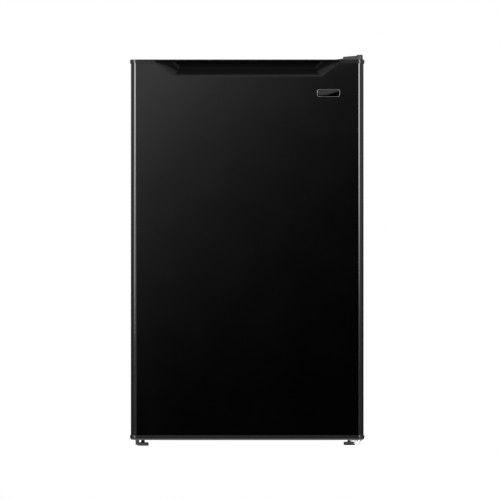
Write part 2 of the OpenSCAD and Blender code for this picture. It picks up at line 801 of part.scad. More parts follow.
module condenser_wires() {
    pitch = 2 * wire_hw / (condenser_wire_count - 1);
    color("#202022") for (i = [0:condenser_wire_count - 1], side = [-1, 1])
        upright([-wire_hw + i * pitch, tube_y + side * (tube_d + wire_d) / 2], wire_z, wire_d);
}

module condenser_brackets() {
    base_y = cabinet_back_y + sheet_t;
    color("#141414") difference() {
        both_sides() for (z = clip_z) {
            block([192, 226], [base_y, base_y + 2.2], [z - 19, z + 19]);
            block([192, 226], [base_y, total_d / 2], [z - 7, z + 7]);
        }
        block([-217, 217], [tube_y - tube_d / 2 - 0.1, tube_y + tube_d / 2 + 0.1], [0, total_h]);
        rear_screw_shanks(fit_gap);
    }
}

module filter_drier() {
    body = [[0, drier_z[0]], [3, drier_z[0]], [3, drier_z[0] + 5], [9, drier_z[0] + 14],
        [9, drier_z[1] - 14], [4, drier_z[1] - 6], [4, drier_z[1]], [0, drier_z[1]]];
    color("#b4693c") translate([drier_place[0], drier_place[1], 0]) rotate_extrude() polygon(body);
}

module capillary_tube() {
    color("#b4693c") bent_tube([[drier_place[0], drier_place[1], drier_z[0]],
        [drier_place[0], drier_place[1], 50], [capillary_x, drier_place[1], 50],
        [capillary_x, seal_place[1], 50], [capillary_x, seal_place[1], tube_end_z]], 2, 10, [0, 1, 0]);
}

module suction_line() {
    color("#b4693c") bent_tube([[stub_x, suction_y, stub_z], [suction_x, suction_y, stub_z],
        [suction_x, seal_place[1], stub_z], [suction_x, seal_place[1], tube_end_z]], 6, 9, [0, 0, 1]);
}

module tube_seal() {
    color("#2a2a2a") difference() {
        union() {
            upright(seal_place, [bay_top_z - 5, bay_top_z], 28);
            upright(seal_place, [bay_top_z - 1, bay_top_z + 18], 20);
        }
        upright([suction_x, seal_place[1]], [bay_top_z - 6, tube_end_z], 6.2);
        upright([capillary_x, seal_place[1]], [bay_top_z - 6, tube_end_z], 2.2);
    }
}

module gland_bracket() {
    color("#8f9296") difference() {
        block(around(gland_place[0], 15), [gland_y, gland_y + 1.5], [plate_z[1], 62]);
        along_y(gland_place[0], gland_place[1], [gland_y - 1, gland_y + 3], 16.1);
    }
}

module cord_gland() {
    color("#101010") difference() {
        union() {
            along_y(gland_place[0], gland_place[1], [gland_y - 6, gland_y + 8], 16);
            along_y(gland_place[0], gland_place[1], [gland_y + 1.5, gland_y + 5], 22);
        }
        along_y(gland_place[0], gland_place[1], [gland_y - 7, gland_y + 9], 7.5);
    }
}

module rear_screw_shanks(gap) {
    for (s = rear_screw_places)
        along_y(s[0], s[1], [cabinet_back_y - 7, s[2] + 0.5], 3.6 + 2 * gap);
}

module rear_screws() {
    color("#b9bcc0") {
        rear_screw_shanks(0);
        for (s = rear_screw_places)
            along_y(s[0], s[1], [s[2], s[2] + 2.4], 7.5);
    }
}

// ---------- Door ----------

// Prism with the door's plan: round front edges, square back edges
module door_form(hw, y, z, r) {
    plan_prism([-hw, hw], y, z, [0, 0, r, r]);
}

module door_skin() {
    color("#0b0b0c") difference() {
        door_form(skin_hw, [skin_front_y, door_back_y], skin_z, door_edge_r);
        door_form(skin_inner_hw, [skin_inner_y, door_back_y - sheet_t], skin_z + [-1, 1],
            door_edge_r - sheet_t);
        block([12 - skin_hw, skin_hw - 12], [door_back_y - 2, door_back_y + 1], skin_z + [-1, 1]);
        pocket_prism(pocket_outer, 0.6, [door_front_y - 1, skin_inner_y + 1]);
    }
}

// Half width of a pocket outline at the height z, on its slanted side carried on upwards
function pocket_hw(step, z) =
    step[1] + (step[0] - step[1]) * (z - step[2]) / (door_top_z - step[2]);

// Straight prism with a pocket outline, grown sideways and downwards
module pocket_prism(step, grow, y) {
    top_hw = pocket_hw(step, pocket_top_z) + grow;
    low_hw = step[1] + grow;
    translate([0, y[1], 0]) rotate([90, 0, 0]) linear_extrude(y[1] - y[0])
        polygon([[-top_hw, pocket_top_z], [-low_hw, step[2] - grow], [low_hw, step[2] - grow],
            [top_hw, pocket_top_z]]);
}

// Space of the pocket handle: a two-step funnel to the lip and a finger space behind it
module pocket_space(grow) {
    funnel = [[pocket_outer, door_front_y - 1], [pocket_outer, door_front_y],
        [pocket_step, door_front_y + 5], [pocket_inner, pocket_lip_y]];
    hull() for (step = funnel)
        pocket_prism(step[0], grow, [step[1] - 0.01, step[1]]);
    pocket_prism(pocket_inner, grow, [pocket_lip_y - 0.5, pocket_back_y + grow]);
    pocket_prism(pocket_floor, grow, [pocket_lip_y + pocket_wall - grow, pocket_back_y + grow]);
}

module cap_bosses(z) {
    both_sides() upright([hinge_x, hinge_y], z, bushing_d + 6);
}

module cap_boss_bores(z) {
    both_sides() upright([hinge_x, hinge_y], z, bushing_d);
}

module door_top_cap() {
    tongue_z = [skin_z[1] - cap_tongue, skin_z[1]];
    color("#121213") difference() {
        union() {
            difference() {
                union() {
                    door_form(total_w / 2, [door_front_y, door_back_y], [skin_z[1], door_top_z],
                        door_edge_r + 1);
                    door_form(skin_inner_hw - 0.1, [skin_inner_y + 0.1, door_back_y - sheet_t - 0.1],
                        tongue_z, door_edge_r - 1);
                }
                door_form(cap_inner_hw, cap_inner_y, [tongue_z[0] - 1, door_top_z - 3], door_edge_r - 3);
            }
            intersection() {
                pocket_space(pocket_wall);
                block([-total_w, total_w], [skin_inner_y + 0.1, door_back_y - sheet_t - 0.1], [0, door_top_z]);
            }
            intersection() {
                pocket_prism(pocket_outer, 2, [door_front_y, skin_front_y]);
                block([-total_w, total_w], [-total_d, 0], [0, door_top_z]);
            }
            cap_bosses([door_top_z - 17, door_top_z]);
        }
        pocket_space(0);
        cap_boss_bores([door_top_z - 18, door_top_z + 1]);
    }
}

module door_bottom_cap() {
    color("#121213") difference() {
        union() {
            difference() {
                union() {
                    door_form(total_w / 2, [door_front_y, door_back_y], [door_bottom_z, skin_z[0]],
                        door_edge_r + 1);
                    door_form(skin_inner_hw - 0.1, [skin_inner_y + 0.1, door_back_y - sheet_t - 0.1],
                        [skin_z[0], skin_z[0] + cap_tongue], door_edge_r - 1);
                }
                door_form(cap_inner_hw, cap_inner_y, [door_bottom_z + 3, skin_z[0] + cap_tongue + 1],
                    door_edge_r - 3);
            }
            cap_bosses([door_bottom_z, door_bottom_z + 17]);
        }
        cap_boss_bores([door_bottom_z - 1, door_bottom_z + 18]);
    }
}

// Raised inner face of the door: a low plateau and two upright dykes, shrunk when inset is given
module liner_form(inset) {
    front_prism([inset - plateau_hw, plateau_hw - inset], [door_back_y - 2, door_back_y + plateau_h - inset],
        [plateau_z[0] + inset, plateau_z[1] - inset], (14 - inset) * [1, 1, 1, 1]);
    both_sides() side_prism([dyke_x[0] + inset, dyke_x[1] - inset], [door_back_y - 2, dyke_y - inset],
        [dyke_z[0] + inset, dyke_z[1] - inset], [14 - inset, 0, 0, 14 - inset]);
}

module door_liner() {
    flange_hw = skin_hw - 12.2;
    color("#f1f2f0") difference() {
        union() {
            block([-flange_hw, flange_hw], [door_back_y - liner_t, door_back_y],
                [skin_z[0] + cap_tongue + 0.2, skin_z[1] - cap_tongue - 0.2]);
            intersection() {
                liner_form(0);
                block([-total_w, total_w], [door_back_y - liner_t, 0], [0, total_h]);
            }
        }
        liner_form(liner_t);
    }
}

// Insulation of the door, cut square around the pocket handle
module door_foam() {
    back_y = door_back_y - liner_t - 0.1;
    notch_hw = pocket_top_w / 2 + pocket_wall + 0.1;
    color("#e8d9a0") difference() {
        union() {
            door_form(cap_inner_hw - 0.1, [skin_inner_y + cap_wall + 0.1, back_y],
                [skin_z[0] + 1, skin_z[1] - 1], door_edge_r - 3);
            door_form(skin_inner_hw - 0.1, [skin_inner_y + 0.1, back_y],
                [skin_z[0] + cap_tongue + 0.1, skin_z[1] - cap_tongue - 0.1], door_edge_r - 1);
            liner_form(liner_t + 0.1);
        }
        block([-total_w, total_w], [door_back_y - 3.1, 0], [0, skin_z[0] + cap_tongue + 0.2]);
        block([-total_w, total_w], [door_back_y - 3.1, 0], [skin_z[1] - cap_tongue - 0.2, total_h]);
        block([-notch_hw, notch_hw], [-total_d, pocket_back_y + pocket_wall + 0.1],
            [pocket_floor[2] - pocket_wall - 0.1, total_h]);
        cap_bosses([0, door_bottom_z + 17.1]);
        cap_bosses([door_top_z - 17.1, total_h]);
    }
}

module seal_ring(inset, width, y) {
    hw = seal_outer[0] - inset;
    z = seal_outer[1] + [inset, -inset];
    r = max(seal_w - inset - width, 2);
    difference() {
        front_prism([-hw, hw], y, z, (r + width) * [1, 1, 1, 1]);
        front_prism([width - hw, hw - width], y + [-1, 1], z + [width, -width], r * [1, 1, 1, 1]);
    }
}

module door_gasket() {
    color("#1c1c1c") difference() {
        seal_ring(0, seal_w, [door_back_y, door_back_y + seal_t]);
        seal_ring(5, 8, [door_back_y - 1, door_back_y + seal_t - 3]);
    }
}

module gasket_magnets() {
    color("#3a3734") seal_ring(5.5, 7, [door_back_y + 2, door_back_y + seal_t - 3.2]);
}

module door_bushings() {
    color("#e4e2da") both_sides() for (z = [door_bottom_z, door_top_z - 17])
        difference() {
            upright([hinge_x, hinge_y], [z, z + 17], bushing_d);
            upright([hinge_x, hinge_y], [z - 1, z + 18], hinge_pin_d + 2 * fit_gap);
        }
}

module door_bin(z, h) {
    open_box([-bin_hw, bin_hw], bin_y, [z, z + h], bin_t, 10);
}

module door_bins() {
    color("#d9e4e8", 0.8) {
        door_bin(dyke_z[0] + 200, 78);
        door_bin(dyke_z[0] + 350, 78);
    }
}

module bottle_bin() {
    color("#d9e4e8", 0.8) {
        door_bin(dyke_z[0] - 8, 96);
        plan_prism([-bin_hw, bin_hw], [bin_y[1] - bin_t, bin_y[1]], [dyke_z[0] + 106, dyke_z[0] + 118],
            [0, 0, 0, 0]);
        both_sides() block([bin_hw - bin_t, bin_hw], [bin_y[1] - 30, bin_y[1]],
            [dyke_z[0] + 80, dyke_z[0] + 118]);
    }
}

module door_badge() {
    color("#c8cacc") front_prism([hinge_x - 81.5, hinge_x - 35.5], [door_front_y, skin_front_y],
        [door_top_z - 75, door_top_z - 60], 3 * [1, 1, 1, 1]);
}

outer_shell();
base_plate();
bay_panel();
back_panel();
insulation_foam();
inner_liner();
compressor_plate();
rear_screws();
rear_feet();
left_foot_bracket();
lower_hinge_bracket();
lower_bracket_screws();
top_hinge_bracket();
top_hinge_screws();
top_hinge_cover();
hinge_hole_plugs();
levelling_foot_left();
levelling_foot_right();
evaporator_box();
evaporator_clips();
freezer_front_frame();
freezer_flap();
drip_tray();
upper_shelf_glass();
upper_shelf_trim();
lower_shelf_glass();
lower_shelf_trim();
crisper_lid_glass();
crisper_lid_trim();
crisper_drawer();
thermostat_housing();
thermostat_knob();
defrost_button();
thermostat_switch();
sensor_bulb();
compressor();
compressor_grommets();
compressor_bolts();
relay_cover();
discharge_tube();
condenser_tube();
condenser_wires();
condenser_brackets();
filter_drier();
capillary_tube();
suction_line();
tube_seal();
gland_bracket();
cord_gland();
door_skin();
door_top_cap();
door_bottom_cap();
door_foam();
door_liner();
door_gasket();
gasket_magnets();
door_bushings();
door_bins();
bottle_bin();
door_badge();
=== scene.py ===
# Compact refrigerator: looks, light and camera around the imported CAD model. Lengths in metres.
from math import acos, cos, pi, radians, sin, tan

import bmesh
import bpy
from mathutils import Matrix, Vector


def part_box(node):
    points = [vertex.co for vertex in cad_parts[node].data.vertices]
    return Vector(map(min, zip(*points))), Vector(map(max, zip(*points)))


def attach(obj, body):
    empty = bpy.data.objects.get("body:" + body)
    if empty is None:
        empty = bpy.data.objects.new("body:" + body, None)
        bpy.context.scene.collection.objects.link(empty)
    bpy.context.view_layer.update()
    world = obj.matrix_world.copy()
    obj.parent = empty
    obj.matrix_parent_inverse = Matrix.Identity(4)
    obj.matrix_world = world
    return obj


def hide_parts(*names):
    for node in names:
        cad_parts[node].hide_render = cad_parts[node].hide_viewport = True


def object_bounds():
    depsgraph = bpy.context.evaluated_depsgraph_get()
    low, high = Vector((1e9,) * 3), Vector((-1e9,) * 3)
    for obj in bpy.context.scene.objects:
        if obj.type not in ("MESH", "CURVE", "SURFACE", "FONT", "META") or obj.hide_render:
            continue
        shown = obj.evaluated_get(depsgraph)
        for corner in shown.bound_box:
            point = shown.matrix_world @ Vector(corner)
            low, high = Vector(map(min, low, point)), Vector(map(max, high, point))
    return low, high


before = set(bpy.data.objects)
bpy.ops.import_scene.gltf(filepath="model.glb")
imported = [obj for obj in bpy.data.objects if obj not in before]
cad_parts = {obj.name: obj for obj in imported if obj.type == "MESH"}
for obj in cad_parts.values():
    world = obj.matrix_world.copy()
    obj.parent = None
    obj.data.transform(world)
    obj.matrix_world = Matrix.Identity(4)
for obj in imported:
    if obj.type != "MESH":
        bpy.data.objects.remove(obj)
cad_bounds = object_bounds()
MM = 0.001

# ---------- Camera ----------

DOOR_FRONT = cad_bounds[0][1]
CAMERA_DISTANCE = 12.0
VIEW_WIDTH = 1.0055
VIEW_CENTRE_X = 0.0056
VIEW_CENTRE_Z = 0.3958
SENSOR = 36

camera_data = bpy.data.cameras.new("camera")
camera_data.sensor_width = SENSOR
camera_data.lens = SENSOR * CAMERA_DISTANCE / VIEW_WIDTH
camera = bpy.data.objects.new("camera", camera_data)
camera.location = (VIEW_CENTRE_X, DOOR_FRONT - CAMERA_DISTANCE, VIEW_CENTRE_Z)
camera.rotation_euler = (radians(90), 0, 0)
bpy.context.collection.objects.link(camera)
bpy.context.scene.camera = camera
bpy.context.scene.view_settings.view_transform = "Standard"

# ---------- Node helpers ----------


def wire(tree, value, socket):
    """Sets the socket to a constant, or links it to another node's output."""
    if isinstance(value, bpy.types.NodeSocket):
        tree.links.new(value, socket)
    elif hasattr(socket.default_value, "__len__") and not hasattr(value, "__len__"):
        socket.default_value = (value, value, value)
    else:
        socket.default_value = value


def calculate(tree, operation, *values):
    node = tree.nodes.new("ShaderNodeMath")
    node.operation = operation
    for value, socket in zip(values, node.inputs):
        wire(tree, value, socket)
    return node.outputs[0]


def smooth_step(tree, value, start, end, low=0.0, high=1.0):
    node = tree.nodes.new("ShaderNodeMapRange")
    node.interpolation_type = "SMOOTHSTEP"
    names = ("Value", "From Min", "From Max", "To Min", "To Max")
    for name, item in zip(names, (value, start, end, low, high)):
        wire(tree, item, node.inputs[name])
    return node.outputs[0]


def noise(tree, scale, detail=3.0, stretch=(1, 1, 1)):
    """Noise over the rest position; scale is in features per metre."""
    place = tree.nodes.new("ShaderNodeTexCoord")
    mapping = tree.nodes.new("ShaderNodeMapping")
    wire(tree, stretch, mapping.inputs["Scale"])
    wire(tree, place.outputs["Object"], mapping.inputs["Vector"])
    node = tree.nodes.new("ShaderNodeTexNoise")
    wire(tree, mapping.outputs[0], node.inputs["Vector"])
    wire(tree, scale, node.inputs["Scale"])
    wire(tree, detail, node.inputs["Detail"])
    return node.outputs["Fac"]


def cells(tree, scale):
    """Random value per crystal, for galvanised spangle."""
    place = tree.nodes.new("ShaderNodeTexCoord")
    node = tree.nodes.new("ShaderNodeTexVoronoi")
    wire(tree, place.outputs["Object"], node.inputs["Vector"])
    wire(tree, scale, node.inputs["Scale"])
    return node.outputs["Color"]


def blend_colours(tree, amount, first, second):
    node = tree.nodes.new("ShaderNodeMix")
    node.data_type = "RGBA"
    wire(tree, amount, node.inputs[0])
    wire(tree, first, node.inputs[6])
    wire(tree, second, node.inputs[7])
    return node.outputs[2]


def bumps(tree, height, depth, under=None):
    node = tree.nodes.new("ShaderNodeBump")
    wire(tree, 1.0, node.inputs["Strength"])
    wire(tree, depth, node.inputs["Distance"])
    wire(tree, height, node.inputs["Height"])
    if under:
        wire(tree, under, node.inputs["Normal"])
    return node.outputs[0]


def new_material(name, **sockets):
    """Material with a principled shader; returns it, its node tree and the shader's inputs."""
    material = bpy.data.materials.new(name)
    material.use_nodes = True
    tree = material.node_tree
    shader = tree.nodes["Principled BSDF"]
    for key, value in sockets.items():
        wire(tree, value, shader.inputs[key.replace("_", " ")])
    return material, tree, shader.inputs


def grey(level):
    return (level, level, level, 1)


# ---------- Materials ----------


def gloss_paint():
    """High-gloss black on sheet steel, with a faint waviness."""
    material, tree, inputs = new_material("gloss_paint", IOR=1.5)
    tint = blend_colours(tree, noise(tree, 3), (0.0002, 0.0002, 0.00025, 1), (0.0003, 0.0003, 0.00035, 1))
    wire(tree, tint, inputs["Base Color"])
    wire(tree, smooth_step(tree, noise(tree, 12, 4), 0.3, 0.7, 0.035, 0.06), inputs["Roughness"])
    wire(tree, bumps(tree, noise(tree, 260, 2), 0.0000025), inputs["Normal"])
    return material


def textured_paint(name, colour, roughness, grain, depth):
    """Paint or moulded plastic with a fine grain; grain is in features per metre."""
    material, tree, inputs = new_material(name, IOR=1.5)
    darker = tuple(0.9 * channel for channel in colour[:3]) + (1,)
    wire(tree, blend_colours(tree, noise(tree, 120, 5), darker, colour), inputs["Base Color"])
    wire(tree, smooth_step(tree, noise(tree, 300, 5), 0.3, 0.7, 0.94 * roughness, 1.06 * roughness),
         inputs["Roughness"])
    wire(tree, bumps(tree, noise(tree, grain, 2), depth), inputs["Normal"])
    return material


def moulded_white(name, colour, roughness):
    """Vacuum-formed or moulded white plastic: slight waves and a very fine grain."""
    material, tree, inputs = new_material(name, IOR=1.5, Subsurface_Weight=0.06, Subsurface_Scale=0.003)
    wire(tree, (1.0, 0.95, 0.9), inputs["Subsurface Radius"])
    warm = (0.97 * colour[0], 0.965 * colour[1], 0.95 * colour[2], 1)
    wire(tree, blend_colours(tree, noise(tree, 6, 3), warm, colour), inputs["Base Color"])
    wire(tree, smooth_step(tree, noise(tree, 40, 4), 0.3, 0.7, 0.96 * roughness, 1.04 * roughness),
         inputs["Roughness"])
    waves = bumps(tree, noise(tree, 5, 1), 0.00003)
    wire(tree, bumps(tree, noise(tree, 1800, 2), 0.000002, waves), inputs["Normal"])
    return material


def see_through(name, colour, ior, roughness):
    """Clear plastic or glass with a slightly uneven face."""
    material, tree, inputs = new_material(name, Transmission_Weight=1.0, IOR=ior)
    wire(tree, colour, inputs["Base Color"])
    wire(tree, smooth_step(tree, noise(tree, 60, 3), 0.3, 0.7, 0.6 * roughness, 1.4 * roughness),
         inputs["Roughness"])
    wire(tree, bumps(tree, noise(tree, 25, 1), 0.00008), inputs["Normal"])
    return material


def galvanised():
    """Zinc-dipped sheet, each crystal a little lighter or darker than the next."""
    material, tree, inputs = new_material("galvanised_sheet", Metallic=1.0)
    spangle = cells(tree, 140)
    tint = blend_colours(tree, spangle, (0.3, 0.31, 0.325, 1), (0.42, 0.43, 0.45, 1))
    wire(tree, tint, inputs["Base Color"])
    wire(tree, smooth_step(tree, spangle, 0.0, 1.0, 0.38, 0.5), inputs["Roughness"])
    wire(tree, bumps(tree, noise(tree, 400, 3), 0.00001), inputs["Normal"])
    return material


def bare_metal(name, light, dark, roughness, stretch=(1, 1, 1), scale=60):
    """Metal with stains and fine lines; a large stretch along one axis draws the lines across it."""
    material, tree, inputs = new_material(name, Metallic=1.0)
    stains = smooth_step(tree, noise(tree, scale, 6), 0.35, 0.7)
    wire(tree, blend_colours(tree, stains, light, dark), inputs["Base Color"])
    wire(tree, smooth_step(tree, stains, 0.0, 1.0, roughness, 1.6 * roughness), inputs["Roughness"])
    wire(tree, bumps(tree, noise(tree, 200, 4, stretch), 0.00001), inputs["Normal"])
    return material


def emissive_floor():
    """Pale floor that glows a little, so that it meets the backdrop without an edge."""
    material, tree, inputs = new_material("pale_floor", Roughness=0.9)
    wire(tree, blend_colours(tree, noise(tree, 2, 3), grey(0.86), grey(0.9)), inputs["Base Color"])
    wire(tree, grey(1.0), inputs["Emission Color"])
    wire(tree, 0.85, inputs["Emission Strength"])
    return material


MATERIALS = {
    "gloss_black_steel": gloss_paint(),
    "black_steel": textured_paint("cabinet_paint", (0.012, 0.012, 0.0125, 1), 0.34, 900, 0.00003),
    "black_plastic": textured_paint("black_plastic", (0.003, 0.003, 0.0032, 1), 0.17, 2600, 0.000002),
    "matte_black_plastic": textured_paint("matte_black_plastic", (0.007, 0.007, 0.0072, 1), 0.45, 1800,
                                          0.00002),
    "dark_steel": textured_paint("black_enamel", (0.02, 0.02, 0.021, 1), 0.28, 500, 0.00002),
    "grey_plastic": textured_paint("grey_plastic", (0.3, 0.31, 0.32, 1), 0.4, 1500, 0.00001),
    "red_plastic": textured_paint("red_plastic", (0.55, 0.03, 0.02, 1), 0.25, 1500, 0.000005),
    "foam": textured_paint("foam", (0.8, 0.66, 0.35, 1), 0.85, 700, 0.0003),
    "magnet": textured_paint("magnet", (0.05, 0.045, 0.04, 1), 0.6, 900, 0.00003),
    "acetal": moulded_white("acetal", (0.85, 0.84, 0.8, 1), 0.3),
    "white_liner": moulded_white("white_liner", (0.8, 0.81, 0.8, 1), 0.26),
    "white_plastic": moulded_white("white_plastic", (0.84, 0.845, 0.84, 1), 0.34),
    "clear_plastic": see_through("clear_plastic", (0.93, 0.965, 0.975, 1), 1.49, 0.05),
    "shelf_glass": see_through("shelf_glass", (0.87, 0.96, 0.92, 1), 1.52, 0.01),
    "freezer_aluminium": bare_metal("freezer_aluminium", (0.78, 0.79, 0.8, 1), (0.66, 0.67, 0.69, 1), 0.3,
                                    (1, 30, 1)),
    "galvanised_steel": galvanised(),
    "zinc_steel": bare_metal("zinc_plate", (0.68, 0.69, 0.7, 1), (0.56, 0.56, 0.55, 1), 0.24),
    "copper": bare_metal("copper", (0.78, 0.36, 0.22, 1), (0.36, 0.17, 0.1, 1), 0.22, scale=35),
    "badge": bare_metal("badge_metal", (0.4, 0.405, 0.41, 1), (0.34, 0.345, 0.35, 1), 0.3, (40, 1, 1)),
    "black_rubber": textured_paint("black_rubber", (0.016, 0.016, 0.016, 1), 0.62, 1400, 0.00003),
}

# ---------- Mesh helpers ----------


def add_piece(name, mesh, body, slot, stands_for=()):
    """Links a new mesh as a piece that rides on a body and takes the place of some CAD nodes."""
    piece = bpy.data.objects.new(name, mesh)
    bpy.context.collection.objects.link(piece)
    mesh.materials.append(MATERIALS[slot])
    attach(piece, body)
    if stands_for:
        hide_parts(*stands_for)
    return piece


def finished_mesh(name, build, sharp_angle=35):
    """Mesh from a bmesh that the build function fills, smooth but for edges over the sharp angle."""
    mesh = bpy.data.meshes.new(name)
    work = bmesh.new()
    build(work)
    bmesh.ops.recalc_face_normals(work, faces=work.faces)
    work.to_mesh(mesh)
    work.free()
    mesh.shade_smooth()
    mesh.set_sharp_from_angle(angle=radians(sharp_angle))
    return mesh


def soften(piece, width):
    """Rounds a piece's edges and evens its shading."""
    bevel = piece.modifiers.new("soft_edges", "BEVEL")
    bevel.width = width
    bevel.segments = 2
    bevel.limit_method = "ANGLE"
    bevel.angle_limit = radians(30)
    even = piece.modifiers.new("even_shading", "WEIGHTED_NORMAL")
    even.keep_sharp = True
    even.weight = 100


def loft(work, rings, closed=False):
    """Joins rings of equal length by quads, as a loop when closed, else with a cap at each end."""
    rows = [[work.verts.new(point) for point in ring] for ring in rings]
    pairs = list(zip(rows, rows[1:]))
    if closed:
        pairs.append((rows[-1], rows[0]))
    for low, high in pairs:
        for i in range(len(low)):
            j = (i + 1) % len(low)
            work.faces.new((low[i], low[j], high[j], high[i]))
    if not closed:
        work.faces.new(rows[0])
        work.faces.new(rows[-1])


def rounded_rectangle(low, high, radius, steps=8):
    """Points of a rectangle with round corners, as (a, b) pairs."""
    corners = ((high[0] - radius, high[1] - radius, 0), (low[0] + radius, high[1] - radius, 90),
               (low[0] + radius, low[1] + radius, 180), (high[0] - radius, low[1] + radius, 270))
    points = []
    for a, b, start in corners:
        for i in range(steps + 1):
            angle = radians(start + 90 * i / steps)
            points.append((a + radius * cos(angle), b + radius * sin(angle)))
    return points


def circle(radius, steps):
    return [(radius * cos(2 * pi * i / steps), radius * sin(2 * pi * i / steps)) for i in range(steps)]


def lathe(work, profile, origin, steps=48):
    """Turns (radius, height) pairs about the upright axis through the origin."""
    x, y, z = origin
    rings = [[(x + a, y + b, z + height) for a, b in circle(radius, steps)] for radius, height in profile]
    loft(work, rings)


def rounded_route(points, radius):
    """The route with each corner replaced by an arc."""
    steps = 10
    points = [Vector(point) for point in points]
    route = [points[0]]
    for before, corner, after in zip(points, points[1:], points[2:]):
        u = (before - corner).normalized()
        v = (after - corner).normalized()
        half = acos(u.dot(v)) / 2
        centre = corner + (u + v).normalized() * radius / sin(half)
        start = corner + u * radius / tan(half) - centre
        end = corner + v * radius / tan(half) - centre
        turn = pi - 2 * half
        for i in range(steps + 1):
            share = i / steps
            route.append(centre + (sin(turn * (1 - share)) * start + sin(turn * share) * end) / sin(turn))
    route.append(points[-1])
    return route


def sweep(work, route, radius, steps=16):
    """Round tube along the route, its rings carried along without twist."""
    last = len(route) - 1
    ahead = [(route[min(i + 1, last)] - route[max(i - 1, 0)]).normalized() for i in range(last + 1)]
    side = ahead[0].orthogonal().normalized()
    rings = []
    for point, direction in zip(route, ahead):
        side = (side - side.dot(direction) * direction).normalized()
        other = direction.cross(side)
        rings.append([point + a * side + b * other for a, b in circle(radius, steps)])
    loft(work, rings)


def copies(template, places):
    """Build function that puts the template's mesh at each of the places, given as matrices."""
    def build(work):
        for place in places:
            before = set(work.verts)
            work.from_mesh(template)
            new = [vert for vert in work.verts if vert not in before]
            bmesh.ops.transform(work, matrix=place, verts=new)
    return build


def carved(mesh, cutter):
    """The mesh with the cutter's mesh taken out of it."""
    block = bpy.data.objects.new("block", mesh)
    tool = bpy.data.objects.new("tool", cutter)
    for item in (block, tool):
        bpy.context.collection.objects.link(item)
    cut = block.modifiers.new("cut", "BOOLEAN")
    cut.object = tool
    cut.solver = "EXACT"
    result = bpy.data.meshes.new_from_object(block.evaluated_get(bpy.context.evaluated_depsgraph_get()))
    for item in (block, tool):
        bpy.data.objects.remove(item)
    return result


# ---------- CAD nodes that keep their shape ----------


def dress(name, edge):
    """Gives a CAD node its finished material and, where edge is set, rounded edges."""
    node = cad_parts[name]
    slot = node.data.materials[0].name.split(".")[0]
    node.data.materials.clear()
    node.data.materials.append(MATERIALS[slot])
    if edge:
        weld = node.modifiers.new("weld", "WELD")
        weld.merge_threshold = 0.01 * MM
        node.data.shade_smooth()
        soften(node, edge * MM)


# How far the edges of each kept node are rounded, in millimetres
ROUNDED_EDGES = {
    0: ("base_plate", "bay_panel", "back_panel", "insulation_foam", "thermostat_switch", "sensor_bulb",
        "condenser_wires", "door_foam", "gasket_magnets"),
    0.3: ("lower_bracket_screws", "top_hinge_screws", "hinge_hole_plugs", "evaporator_clips",
          "compressor_bolts", "gland_bracket", "door_bushings"),
    0.4: ("compressor_plate", "left_foot_bracket", "top_hinge_bracket", "thermostat_knob", "defrost_button",
          "condenser_brackets", "filter_drier", "tube_seal"),
    0.5: ("lower_hinge_bracket", "compressor_grommets", "cord_gland"),
    0.6: ("outer_shell", "rear_feet", "evaporator_box", "drip_tray", "upper_shelf_glass", "upper_shelf_trim",
          "lower_shelf_glass", "lower_shelf_trim", "crisper_lid_glass", "crisper_lid_trim", "crisper_drawer",
          "door_bins", "bottle_bin"),
    0.8: ("freezer_front_frame", "freezer_flap"),
    0.9: ("door_top_cap",),
    1.2: ("thermostat_housing", "relay_cover"),
    1.6: ("inner_liner",),
}
for edge, names in ROUNDED_EDGES.items():
    for name in names:
        dress(name, edge)

# ---------- Pieces made in mesh code ----------


def node_box(name):
    low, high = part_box(name)
    return Vector(low), Vector(high)


def solids_of(name, spread):
    """Centres (x, z) and outermost y of a node's separate solids, which lie more than spread apart."""
    groups = []
    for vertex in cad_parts[name].data.vertices:
        for group in groups:
            if abs(group[0][0] - vertex.co.x) < spread and abs(group[0][2] - vertex.co.z) < spread:
                group.append(vertex.co.copy())
                break
        else:
            groups.append([vertex.co.copy()])
    middles = []
    for group in groups:
        xs, ys, zs = zip(*group)
        middles.append(((min(xs) + max(xs)) / 2, max(ys), (min(zs) + max(zs)) / 2))
    return middles


def plan_outline(half_width, front, back, radius, level):
    """Door outline seen from above: round front corners, square back corners."""
    steps = 14
    points = [(half_width, back), (-half_width, back)]
    for x, start in ((-half_width + radius, 180), (half_width - radius, 270)):
        for i in range(steps + 1):
            angle = radians(start + 90 * i / steps)
            points.append((x + radius * cos(angle), front + radius + radius * sin(angle)))
    return [(a, b, level) for a, b in points]


DOOR_EDGE_R = 0.012
SHEET = 0.0008
HINGE_X = 0.222
HINGE_Y = -0.233
CABINET_FRONT = node_box("outer_shell")[0].y
DOOR_TOP = node_box("door_top_cap")[1].z
POCKET_TOP_W = 0.383
POCKET_BOTTOM_W = 0.297
POCKET_H = 0.033
POCKET_DEPTH = 0.033


